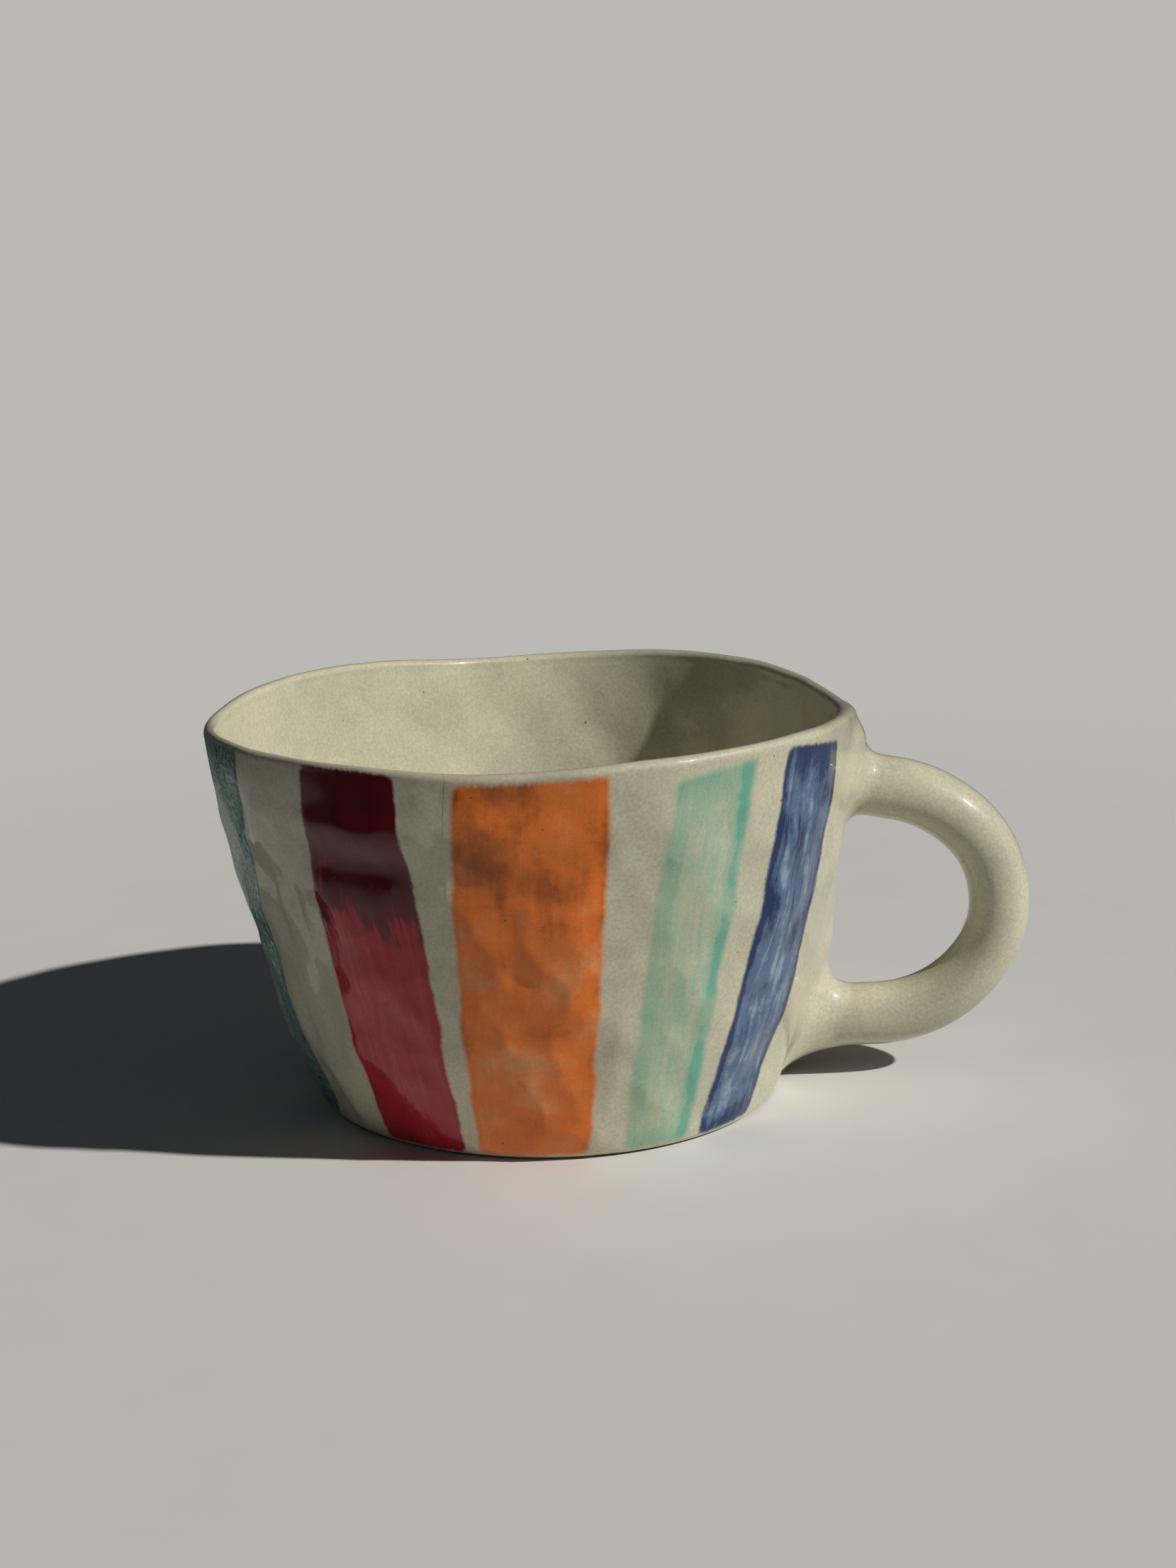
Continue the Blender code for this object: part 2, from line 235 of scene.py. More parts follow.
# Noises: waves a millimetre, detail, roughness and distortion. Those that follow the brush (brushed, lively
# and bristles) get their waves across and along the stroke from what stretches them.
NOISES = {
    "broad cloud": (0.045, 2.0), "cloud": (0.22, 3.0, 0.55), "fine cloud": (1.9, 3.0, 0.6),
    "soft dents": (0.16, 2.5, 0.42), "orange peel": (0.85, 2.0),
    "broken edge": (0.5, 3.0), "clay grain": (5.0, 4.0, 0.7),
    "brushed": (1.0, 4.0, 0.62, 0.8), "patches": (0.12, 2.5, 0.45, 0.3), "speckle": (0.9, 3.0, 0.6),
    "lively": (1.0, 2.0), "fuzz": (1.5, 3.0, 0.6), "wobble": (0.13, 2.0), "bristles": (1.0, 3.0, 0.6),
    "paint grain": (3.0, 2.0),
}
BRUSHED_ALONG = 0.075
STRETCHES = {"lively": (0.05, 0.075, 0.0), "bristles": (0.75, 0.03, 0.0)}

# How a value is eased, from its low to its high and, where given, the amounts that these turn into.
EASES = {
    "grey cloud": (0.38, 0.62), "fine cloud": (0.30, 0.70, 0.90, 1.08),
    "glaze roughness": (0.3, 0.7, 0.34, 0.46),
    "thin lip": (0.85, 1.55, 0.0, 0.45), "bare foot": (0.55, 0.75),
    "lively": (0.38, 0.58, 0.50, 1.0), "paint grain": (0.25, 0.75, 0.93, 1.07),
    "pale to middle": (0.0, 0.5), "middle to deep": (0.5, 1.0),
}
CLOUD_SHARES = (0.7, 0.3)
DENT_HEIGHT = 1.2
PEEL_HEIGHT = 0.20
GRAIN_HEIGHT = 0.5
LIP_RAGGEDNESS = 0.8
FOOT_RAGGEDNESS = 0.3
BARE_ROUGHNESS = 0.85

# The iron specks: cells a millimetre, the largest speck's radius in cells, and how many cells have none.
SPECK_CELLS = 0.30
SPECK_SIZE = 0.080
SPECK_GAPS = 0.45

# The clear coat, the gloss of what is under it, and the height in metres of one unit of relief.
COAT = 0.9
COAT_ROUGHNESS = 0.055
COAT_IOR = 1.40
BODY_SPECULAR = 0.15
RELIEF_HEIGHT = 0.00010

# How ragged the paint's edges are, in millimetres, and how softly its sides meet its ends.
EDGE_FUZZ = 0.55
EDGE_WOBBLE = 1.7
END_BRISTLES = 1.3
EDGE_MEETING = 2.4
# Painted shade at the top: the heights in millimetres between which the paint thickens and darkens towards
# the top, and its raggedness.
TOP_SHADE_HEIGHTS = (40.5, 52.0)
TOP_SHADE_STREAKS = 12.0
TOP_SHADE_PATCHES = 20.0
# Where paint pools: fully to this share of a band's width, and over these millimetres from its ends.
POOL_START = 0.35
END_POOL = (0.6, 5.0)
PAINT_RELIEF = 0.1

# The camera, its angles in degrees and its place in metres.
CAMERA_ELEVATION = 13.2
CAMERA_ROLL = 3.0
CAMERA_TARGET = (0.00972, 0.0, 0.0535)
CAMERA_DISTANCE = 0.408
CAMERA_SENSOR = 36.0
CAMERA_LENS = 54.2
CAMERA_CLIP = 0.01

# The key light: the way to it as azimuth and elevation, and its size, in degrees.
KEY_DIRECTION = (-25.0, 38.0)
KEY_SIZE = 1.5
KEY_ENERGY = 3.45
KEY_COLOUR = (1.0, 0.98, 0.94)

# The floor, which fades out between two distances from its middle, and the sky and backdrop round it.
FLOOR_RADIUS = 0.4
FLOOR_SIDES = 96
FLOOR_FADE = (0.13, 0.36)
FLOOR_TONES = ((0.66, 0.655, 0.635), (0.70, 0.695, 0.675))
FLOOR_MOTTLE = (60.0, 3.0)
FLOOR_ROUGHNESS = 0.9
FLOOR_SPECULAR = 0.2
SKY_COLOUR = (0.80, 0.88, 1.0, 1.0)
SKY_STRENGTH = 0.055
BACKDROP_COLOUR = (0.52, 0.51, 0.485, 1.0)
VIEW_GAMMA = 0.93

# Each paint: its tones from thin to thick, and how thick it lies. Body is its usual thickness. Streaks,
# mottle and speckle vary it. Bands add to it along the left and right edges, top adds painted shade by
# thickening it towards the top, and foot at the ends. Gloss is its clear coat. Widths and softness are in
# millimetres.
PAINTS = {
    # Crimson's top of 0.80 is painted shade: it darkens the stripe's upper part.
    "crimson": {"tones": ((0.52, 0.070, 0.090), (0.40, 0.014, 0.026), (0.115, 0.002, 0.005)),
                "body": 0.38, "streaks": 0.80, "streak_width": 1.05, "mottle": 0.7, "speckle": 0.30,
                "bands": (0.20, 0.20), "band_width": 1.7, "softness": 0.38, "top": 0.80, "foot": 0.10,
                "gloss": 0.90, "relief": 0.15},
    "orange": {"tones": ((0.82, 0.36, 0.150), (0.80, 0.205, 0.026), (0.38, 0.090, 0.006)),
               "body": 0.46, "streaks": 0.35, "streak_width": 1.60, "mottle": 1.55, "speckle": 0.30,
               "bands": (0.12, 0.10), "band_width": 1.6, "softness": 0.55, "top": 0.10, "foot": 0.06,
               "gloss": 0.90, "relief": 0.15},
    "mint": {"tones": ((0.49, 0.53, 0.385), (0.34, 0.48, 0.35), (0.16, 0.41, 0.31)),
             "body": 0.25, "streaks": 1.00, "streak_width": 1.70, "mottle": 0.9, "speckle": 0.50,
             "bands": (0.34, 0.85), "band_width": 3.4, "softness": 0.80, "top": 0.00, "foot": 0.28,
             "gloss": 0.90, "relief": 0.20},
    "cobalt": {"tones": ((0.27, 0.355, 0.44), (0.090, 0.150, 0.260), (0.012, 0.032, 0.110)),
               "body": 0.50, "streaks": 1.7, "streak_width": 1.60, "mottle": 1.6, "speckle": 0.60,
               "bands": (0.80, 0.70), "band_width": 1.9, "softness": 0.42, "top": 0.12, "foot": 0.36,
               "gloss": 0.90, "relief": 0.20},
    "teal": {"tones": ((0.50, 0.56, 0.49), (0.18, 0.31, 0.27), (0.040, 0.115, 0.105)),
             "body": 0.50, "streaks": 1.3, "streak_width": 1.30, "mottle": 1.2, "speckle": 1.8,
             "bands": (0.30, 0.30), "band_width": 1.2, "softness": 0.45, "top": 0.0, "foot": 0.20,
             "gloss": 0.50, "relief": 1.00},
}


# ------ the cup's form

def wave(angle, terms):
    """Sum a few sine waves round the cup."""
    return sum(c * np.cos(n * angle) + s * np.sin(n * angle) for n, c, s in terms)


def mean_radius(share):
    """The round cup's outer radius at a share of its height."""
    return BASE_RADIUS + (RIM_RADIUS - BASE_RADIUS) * share + BELLY * 4.0 * share * (1.0 - share)


def wall_thickness(share):
    """The wall thins from its foot to its lip."""
    return WALL_THICKNESS + (LIP_THICKNESS - WALL_THICKNESS) * np.minimum(1.0, share) ** WALL_TAPER


def smooth(value):
    """Ease from 0 to 1."""
    value = np.clip(value, 0.0, 1.0)
    return value * value * (3.0 - 2.0 * value)


def eased(value, steps):
    """Read values from a short list of (place, amount) steps, eased from each step to the next."""
    places = np.array([place for place, amount in steps])
    amounts = np.array([amount for place, amount in steps])
    index = np.clip(np.searchsorted(places, value, side="right") - 1, 0, len(steps) - 2)
    share = smooth((value - places[index]) / (places[index + 1] - places[index]))
    return amounts[index] + (amounts[index + 1] - amounts[index]) * share


def turned(angle, other):
    """The smaller angle from another angle to this one."""
    return (angle - other + math.pi) % math.tau - math.pi


def seat_stand(angle, share, inset):
    """How far the handle's seat stands out of the wall. It fades out below the skin."""
    around = turned(angle, HANDLE_ANGLE) * mean_radius(share) / SEAT_WIDTH
    fade = np.clip(1.0 - np.maximum(0.0, inset) / SEAT_DEPTH, 0.0, 1.0)
    return eased(share * HEIGHT, SEAT_STANDS) * np.exp(-around * around) * fade


def thumb_marks(seed, rows, marks_a_row, mark_size):
    """Where the soft hollows of one side of the wall lie: angles, heights, sizes and weights."""
    chance = np.random.RandomState(seed)
    step = math.tau / marks_a_row
    angles, heights, sizes, weights = [], [], [], []
    for row, height in enumerate(rows):
        for column in range(marks_a_row):
            stray = chance.uniform(-MARK_STRAY_ROUND, MARK_STRAY_ROUND)
            angles.append(step * (column + 0.5 * (row % 2) + stray))
            heights.append(height + mark_size * chance.uniform(-MARK_STRAY_UP, MARK_STRAY_UP))
            sizes.append(mark_size * chance.uniform(*MARK_SIZES))
            weights.append(math.exp(chance.uniform(-MARK_WEIGHT_STRAY, MARK_WEIGHT_STRAY)))
    return np.array(angles), np.array(heights), np.array(sizes), np.array(weights)


OUTER_MARKS = thumb_marks(11, MARK_ROWS, MARKS_A_ROW, MARK_SIZE)
INNER_MARKS = thumb_marks(29, MARK_ROWS, MARKS_A_ROW, MARK_SIZE)
SMALL_MARKS = thumb_marks(5, SMALL_MARK_ROWS, SMALL_MARKS_A_ROW, SMALL_MARK_SIZE)


def hollows(angle, height, marks, depth):
    """The marks' depth: hollows that meet in soft ridges."""
    total = np.zeros(np.broadcast(angle, height).shape)
    for mark_angle, mark_height, size, weight in zip(*marks):
        across = turned(angle, mark_angle) * RIM_RADIUS / size
        upward = (height - mark_height) / size
        total += weight * np.exp(-MARK_SHARPNESS * (across * across + upward * upward))
    nearness = -np.log(total + 1e-9) / MARK_SHARPNESS
    return depth * (np.clip(nearness, *HOLLOW_LIMITS) - HOLLOW_MIDDLE)


def single_marks(angle, height):
    """Marks that stand alone on the outside."""
    total = np.zeros(np.broadcast(angle, height).shape)
    for degrees, level, half_width, half_height, stand in SINGLE_MARKS:
        across = turned(angle, math.radians(degrees)) * mean_radius(level / HEIGHT) / half_width
        upward = (height - level) / half_height
        total += stand * np.exp(-across ** 4 - upward ** 2)
    return total


def ripple(angle, height):
    """A fine unevenness from a wet finger."""
    return RIPPLE_DEPTH * sum(np.sin(n * angle + height / climb + start) for n, climb, start in RIPPLES)


def skin_radius(angle, share, inset, outward):
    """The radius of the hand-pinched cup, inset from its skin. Outward is 1 outside and 0 inside."""
    height = share * HEIGHT
    stray = (1.0 - share) * wave(angle, BASE_WAVES) + share * wave(angle, RIM_WAVES)
    axis_fade = smooth((mean_radius(share) - inset) / FLOOR_CUT)
    foot_fade = smooth(height / FOOT_FADE)
    lip_fade = 1.0 - LIP_EVENNESS * smooth((height - LIP_FADE_START) / LIP_FADE_HEIGHT)
    large = hollows(angle, height, OUTER_MARKS, MARK_DEPTH)
    small = hollows(angle, height, SMALL_MARKS, SMALL_MARK_DEPTH)
    outside = lip_fade * (large + small) + single_marks(angle, height)
    inside = lip_fade * hollows(angle, height, INNER_MARKS, INNER_MARK_DEPTH)
    relief = foot_fade * (outward * outside + (1.0 - outward) * inside + ripple(angle, height))
    return mean_radius(share) - inset + axis_fade * (stray + relief) + seat_stand(angle, share, inset)


def lip_height(angle):
    """How far the lip lies above or below its mean height."""
    height = wave(angle, LIP_WAVES)
    for degrees, half_width, rise in LIP_DIPS:
        away = turned(angle, math.radians(degrees)) / math.radians(half_width)
        height = height + rise * np.exp(-away * away)
    return height


def cup_points(angle, share, inset, outward):
    """Points of the hand-pinched cup."""
    radius = skin_radius(angle, share, inset, outward)
    height = share * (HEIGHT + lip_height(angle))
    return np.stack([radius * np.cos(angle) + share * RIM_SHIFT[0],
                     radius * np.sin(angle) + share * RIM_SHIFT[1], height], axis=-1)


def foot_corner():
    """The foot corner's middle and the height where it meets the wall."""
    meets = CORNER_RADIUS * (1.0 - math.sin(FOOT_LEAN))
    return mean_radius(meets / HEIGHT) - CORNER_RADIUS * math.cos(FOOT_LEAN), meets


def outer_place(share):
    """How far the outside lies in from the wall's line as it rounds the lip and the foot, and its side."""
    height = share * HEIGHT
    lip = LIP_THICKNESS / 2.0
    lip_share = 1.0 - lip / HEIGHT
    over = np.clip((height - (HEIGHT - lip)) / lip, 0.0, 1.0)
    over_inset = mean_radius(share) - mean_radius(lip_share) + lip * (1.0 - np.sqrt(1.0 - over * over))
    middle, meets = foot_corner()
    under = np.clip((CORNER_RADIUS - height) / CORNER_RADIUS, 0.0, 1.0)
    under_inset = mean_radius(share) - middle - CORNER_RADIUS * np.sqrt(1.0 - under * under)
    inset = np.where(over > 0.0, over_inset, 0.0) + np.where(height < meets, under_inset, 0.0)
    return inset, 1.0 - np.arcsin(over) / math.pi


def outer_points(angle, share):
    """Points of the outer skin, from the foot's corner to the lip's."""
    inset, side = outer_place(share)
    return cup_points(angle, share, inset, side)


def skin_normals(points):
    """The directions of a grid of skin points, from its slopes."""
    normal = np.cross(np.gradient(points, axis=1), np.gradient(points, axis=0))
    return normal / np.linalg.norm(normal, axis=-1, keepdims=True)


# ------ making meshes

def make_piece(name, points, faces, normals=None, sharp=None):
    """A named mesh object from points and faces."""
    mesh = bpy.data.meshes.new(name)
    mesh.from_pydata(points.reshape(-1, 3).tolist(), [], faces)
    mesh.update()
    mesh.shade_smooth()
    if sharp is not None:
        mesh.set_sharp_from_angle(angle=math.radians(sharp))
    if normals is not None:
        mesh.normals_split_custom_set_from_vertices(normals.reshape(-1, 3).tolist())
    piece = bpy.data.objects.new(name, mesh)
    bpy.context.scene.collection.objects.link(piece)
    return piece


def add_floats(piece, name, values):
    """Store a number at each point of a piece."""
    attribute = piece.data.attributes.new(name, "FLOAT", "POINT")
    attribute.data.foreach_set("value", np.asarray(values, dtype=np.float32).ravel())


def add_vectors(piece, name, values):
    """Store a vector at each point of a piece."""
    attribute = piece.data.attributes.new(name, "FLOAT_VECTOR", "POINT")
    attribute.data.foreach_set("vector", np.asarray(values, dtype=np.float32).ravel())


def grid_faces(rows, columns, wrap_rows=False, wrap_columns=False, start=0, flip=False):
    """Quads over a grid of points that are stored row by row."""
    faces = []
    for row in range(rows if wrap_rows else rows - 1):
        after_row = (row + 1) % rows
        for column in range(columns if wrap_columns else columns - 1):
            after = (column + 1) % columns
            quad = (start + row * columns + column, start + row * columns + after,
                    start + after_row * columns + after, start + after_row * columns + column)
            faces.append(quad[::-1] if flip else quad)
    return faces


def arc(centre, radius, start, end, steps):
    """Points on an arc between two angles in degrees, without the last point."""
    turn = np.radians(np.linspace(start, end, steps, endpoint=False))
    return np.stack([centre[0] + radius * np.cos(turn), centre[1] + radius * np.sin(turn)], axis=1)


def end_fans(rings, sides, flip=False):
    """Triangles from the first and last ring to the two tips that are stored after the rings."""
    faces = []
    tip = rings * sides
    last = tip - sides
    for side in range(sides):
        after = (side + 1) % sides
        fans = ((after, side, tip), (last + side, last + after, tip + 1))
        faces.extend(fan[::-1] if flip else fan for fan in fans)
    return faces


def cup_profile():
    """The wall's closed section from the floor up inside, over the lip, down outside and under."""
    cove_share = (FLOOR_LEVEL + COVE_RADIUS) / HEIGHT
    cove_top = mean_radius(cove_share) - wall_thickness(cove_share)
    cove_centre = (cove_top - COVE_RADIUS, FLOOR_LEVEL + COVE_RADIUS)
    lip = LIP_THICKNESS / 2.0
    lip_share = 1.0 - lip / HEIGHT
    lip_centre = (mean_radius(lip_share) - lip, HEIGHT - lip)
    corner_middle, corner_meets = foot_corner()
    corner_centre = (corner_middle, CORNER_RADIUS)
    inside = np.linspace(cove_share, lip_share - LIP_ARC_ROOM[0], INSIDE_STEPS, endpoint=False)
    outside = np.linspace(lip_share - LIP_ARC_ROOM[1], corner_meets / HEIGHT, OUTSIDE_STEPS, endpoint=False)
    under = np.linspace(corner_middle, FLOOR_CUT, UNDER_STEPS)
    floor = np.linspace(FLOOR_CUT, cove_centre[0], FLOOR_STEPS, endpoint=False)
    over_lip = 1.0 - np.clip(np.linspace(*LIP_ARC, LIP_STEPS, endpoint=False), 0.0, 180.0) / 180.0
    runs = (
        (np.stack([floor, np.full(FLOOR_STEPS, FLOOR_LEVEL)], axis=1), 0.0),
        (arc(cove_centre, COVE_RADIUS, -90.0, 0.0, COVE_STEPS), 0.0),
        (np.stack([mean_radius(inside) - wall_thickness(inside), inside * HEIGHT], axis=1), 0.0),
        (arc(lip_centre, lip, *LIP_ARC, LIP_STEPS), over_lip),
        (np.stack([mean_radius(outside), outside * HEIGHT], axis=1), 1.0),
        (arc(corner_centre, CORNER_RADIUS, -math.degrees(FOOT_LEAN), -90.0, CORNER_STEPS), 1.0),
        (np.stack([under, np.zeros(UNDER_STEPS)], axis=1), 1.0),
        (np.array([[FLOOR_CUT, FLOOR_LEVEL * 0.5]]), 0.0),
    )
    points = np.concatenate([run for run, side in runs])
    outward = np.concatenate([np.broadcast_to(side, len(run)) for run, side in runs])
    return points, outward


def press_profile(points, outward):
    """Turn a profile round the cup's axis and push it into the hand-pinched form."""
    angle = np.linspace(0.0, math.tau, CUP_STEPS, endpoint=False)[None, :]
    share = points[:, 1:] / HEIGHT
    inset = mean_radius(share) - points[:, :1]
    angle, share, inset, side = np.broadcast_arrays(angle, share, inset, outward[:, None])
    return angle, share, cup_points(angle, share, inset, side)


def build_wall():
    """The pinched wall with its lip, inside and foot."""
    profile, outward = cup_profile()
    share, points = press_profile(profile, outward)[1:]
    faces = grid_faces(len(profile), CUP_STEPS, wrap_rows=True, wrap_columns=True)
    piece = make_piece("mug_wall", points, faces, sharp=CREASE)
    add_floats(piece, "lip", 1.0 - smooth((1.0 - share) * HEIGHT / THIN_LIP_HEIGHT))
    add_floats(piece, "bare", (1.0 - smooth((share * HEIGHT - BARE_LEVEL) / BARE_EASE)) * outward[:, None])
    return piece


def build_base():
    """The base slab: the cup's floor and the middle of its underside."""
    radius = np.linspace(BASE_CENTRE, FLOOR_CUT, BASE_RINGS)
    rise = UNDERSIDE_RISE * (1.0 - smooth((radius - RISE_REACH) / RISE_EASE))
    top = np.stack([radius, np.full(BASE_RINGS, FLOOR_LEVEL)], axis=1)
    under = np.stack([radius[::-1], rise[::-1]], axis=1)
    profile = np.concatenate([top, under])
    angle, share, points = press_profile(profile, np.zeros(len(profile)))
    reach = profile[:, :1] / FLOOR_CUT
    ripples = np.sin(FLOOR_RIPPLE[0] * angle + FLOOR_RIPPLE[1] * reach) * smooth(1.0 - reach)
    points[..., 2] += FLOOR_RIPPLE_DEPTH * ripples * (share > UNDERSIDE_SHARE)
    centres = np.array([points[0].mean(axis=0), points[-1].mean(axis=0)])
    everything = np.concatenate([points.reshape(-1, 3), centres])
    faces = grid_faces(len(profile), CUP_STEPS, wrap_columns=True, flip=True)
    faces += end_fans(len(profile), CUP_STEPS, flip=True)
    piece = make_piece("mug_base", everything, faces, sharp=CREASE)
    add_floats(piece, "lip", np.zeros(len(everything)))
    add_floats(piece, "bare", np.concatenate([(share < UNDERSIDE_SHARE).ravel(), [0.0, 1.0]]))
    return piece


# ------ the handle

ALONG = np.array([math.cos(HANDLE_ANGLE), math.sin(HANDLE_ANGLE), 0.0])
SIDEWAYS = np.array([-math.sin(HANDLE_ANGLE), math.cos(HANDLE_ANGLE), 0.0])
UPWARD = np.array([0.0, 0.0, 1.0])


def wall_gap(points):
    """How far points near the wall lie from its skin, level and away from the cup's axis."""
    share = points[..., 2] / HEIGHT
    for _ in range(ANGLE_ROUNDS):
        x = points[..., 0] - share * RIM_SHIFT[0]
        y = points[..., 1] - share * RIM_SHIFT[1]
        angle = np.arctan2(y, x)
        share = points[..., 2] / (HEIGHT + lip_height(angle))
    share = np.clip(share, 0.0, 1.0)
    inset, side = outer_place(share)
    return np.hypot(x, y) - skin_radius(angle, share, inset, side)


def slide_to_wall(points, direction):
    """Slide points along a direction until they lie on the wall's skin."""
    for _ in range(SLIDE_ROUNDS):
        points = points + direction * wall_gap(points)[..., None]
    return points


def by_direction(amounts, turn):
    """Blend an (up, side, down) amount by the direction round the coil."""
    up, side, down = amounts
    vertical = np.where(np.sin(turn) > 0.0, up, down)
    return side + (vertical - side) * np.sin(turn) ** 2


def coil_wobble(along, turn):
    """The hand-rolled coil's uneven radius."""
    return 1.0 + sum(amount * np.sin(along * by_length + turn * by_turn + start)
                     for amount, by_length, by_turn, start in COIL_WOBBLES)


def loop_ring(centre, tangent, along, turn):
    """One ring of the coil."""
    up = np.cross(SIDEWAYS, -tangent)
    radius = COIL_RADIUS * coil_wobble(along, turn)[:, None]
    return centre + radius * (np.cos(turn)[:, None] * SIDEWAYS + np.sin(turn)[:, None] * up)


def flare(end_ring, into_wall, turn, fillet):
    """Rings from the coil's end, easing out over the joint's clay onto the wall's skin."""
    corner = slide_to_wall(end_ring, into_wall)
    gap = np.linalg.norm(corner - end_ring, axis=-1)
    length = np.minimum(by_direction(fillet["along"], turn), FILLET_SHARE * gap)[:, None]
    spread = by_direction(fillet["spread"], turn)[:, None]
    start = corner - into_wall * length
    outward = np.cos(turn)[:, None] * SIDEWAYS + np.sin(turn)[:, None] * UPWARD
    hem = slide_to_wall(corner + outward * spread, -ALONG)
    beyond = slide_to_wall(hem + outward * HEM_WIDTH, -ALONG)
    rings = [end_ring + (start - end_ring) * share for share in FILLET_STARTS]
    for share in np.linspace(0.0, 1.0, FLARE_RINGS):
        first = start + (corner - start) * share
        second = corner + (hem - corner) * share
        curve = first + (second - first) * share
        chord = start + (hem - start) * share
        rings.append(curve + (chord - curve) * fillet["fullness"])
    return rings + [beyond]


def grid_normals(points):
    """Normals of a loft whose rings are closed, from its slopes."""
    around = np.roll(points, -1, axis=1) - np.roll(points, 1, axis=1)
    along = np.gradient(points, axis=0)
    normal = np.cross(around, along)
    return normal / np.linalg.norm(normal, axis=-1, keepdims=True)


def loft_piece(name, points, normals, buried_first=False, buried_last=False):
    """A closed piece from a run of rings, with a fan over each end. A buried end is tucked into the wall."""
    rings, sides = points.shape[:2]
    points = points.copy()
    tips = [points[0].mean(axis=0), points[-1].mean(axis=0)]
    if buried_first:
        points[0] -= normals[0] * HEM_SINK
        tips[0] = tips[0] - ALONG * CORE_SINK
    if buried_last:
        points[-1] -= normals[-1] * HEM_SINK
        tips[1] = tips[1] - ALONG * CORE_SINK
    everything = np.concatenate([points.reshape(-1, 3), np.array(tips)])
    faces = grid_faces(rings, sides, wrap_columns=True) + end_fans(rings, sides)
    ends = np.array([-(points[1].mean(axis=0) - tips[0]), tips[1] - points[-2].mean(axis=0)])
    ends = ends / np.linalg.norm(ends, axis=-1, keepdims=True)
    everything_normals = np.concatenate([normals.reshape(-1, 3), ends])
    piece = make_piece(name, everything, faces, normals=everything_normals)
    add_floats(piece, "lip", np.zeros(len(everything)))
    add_floats(piece, "bare", np.zeros(len(everything)))
    return piece


def build_handle():
    """The coil and the clay pressed round its two ends, as three pieces cut from one loft."""
    turn = np.linspace(0.0, math.tau, COIL_SIDES, endpoint=False)
    angles = np.linspace(LOOP_START, -math.pi / 2.0, COIL_RINGS - STRAIGHT_RINGS)
    reach = LOOP_CENTRE[0] + LOOP_REACH * np.cos(angles)
    rise = LOOP_CENTRE[1] + LOOP_RISE * np.sin(angles)
    straight = np.linspace(LOOP_CENTRE[0], LOWER_COIL_END, STRAIGHT_RINGS + 1)[1:]
    reach = np.concatenate([reach, straight])
    rise = np.concatenate([rise, np.full(STRAIGHT_RINGS, LOOP_CENTRE[1] - LOOP_RISE)])
    centres = reach[:, None] * ALONG + rise[:, None] * UPWARD
    tangents = np.gradient(centres, axis=0)
    tangents[-1] = -ALONG
    tangents /= np.linalg.norm(tangents, axis=-1, keepdims=True)
    alongs = np.linspace(0.0, 1.0, COIL_RINGS)
    coil = [loop_ring(c, t, a, turn) for c, t, a in zip(centres, tangents, alongs)]
    upper = flare(coil[0], -tangents[0], turn, UPPER_FILLET)
    lower = flare(coil[-1], tangents[-1], -turn, LOWER_FILLET)
    loft = np.array(upper[::-1] + coil + lower)
    normals = grid_normals(loft)
    first = len(upper)
    last = first + len(coil) - 1
    return [
        loft_piece("mug_handle_upper_joint", loft[:first + 1], normals[:first + 1], buried_first=True),
        loft_piece("mug_handle_coil", loft[first:last + 1], normals[first:last + 1]),
        loft_piece("mug_handle_lower_joint", loft[last:], normals[last:], buried_last=True),
    ]


# ------ the brushed stripes

def edge_angle(edge, share):
    """A stripe edge's angle at a share of the height, on a curve through its three stated angles."""
    rim, middle, foot = (math.radians(value) for value in edge)
    return (rim * share * (2.0 * share - 1.0) + middle * 4.0 * share * (1.0 - share)
            + foot * (1.0 - share) * (1.0 - 2.0 * share))


def patch_shares():
    """The rows of a stripe's skin, as shares of the height: round the foot, up the wall and over the lip."""
    lip = LIP_THICKNESS / 2.0
    low_turn = np.linspace(-PATCH_UNDER_FOOT, -FOOT_LEAN, PATCH_BEND_STEPS, endpoint=False)
    low = CORNER_RADIUS * (1.0 + np.sin(low_turn))
    high = HEIGHT - lip + lip * np.sin(np.linspace(0.0, PATCH_OVER_LIP, PATCH_BEND_STEPS))
    middle = np.linspace(foot_corner()[1], high[0], int(HEIGHT / PATCH_CELL), endpoint=False)
    return np.concatenate([low, middle, high]) / HEIGHT


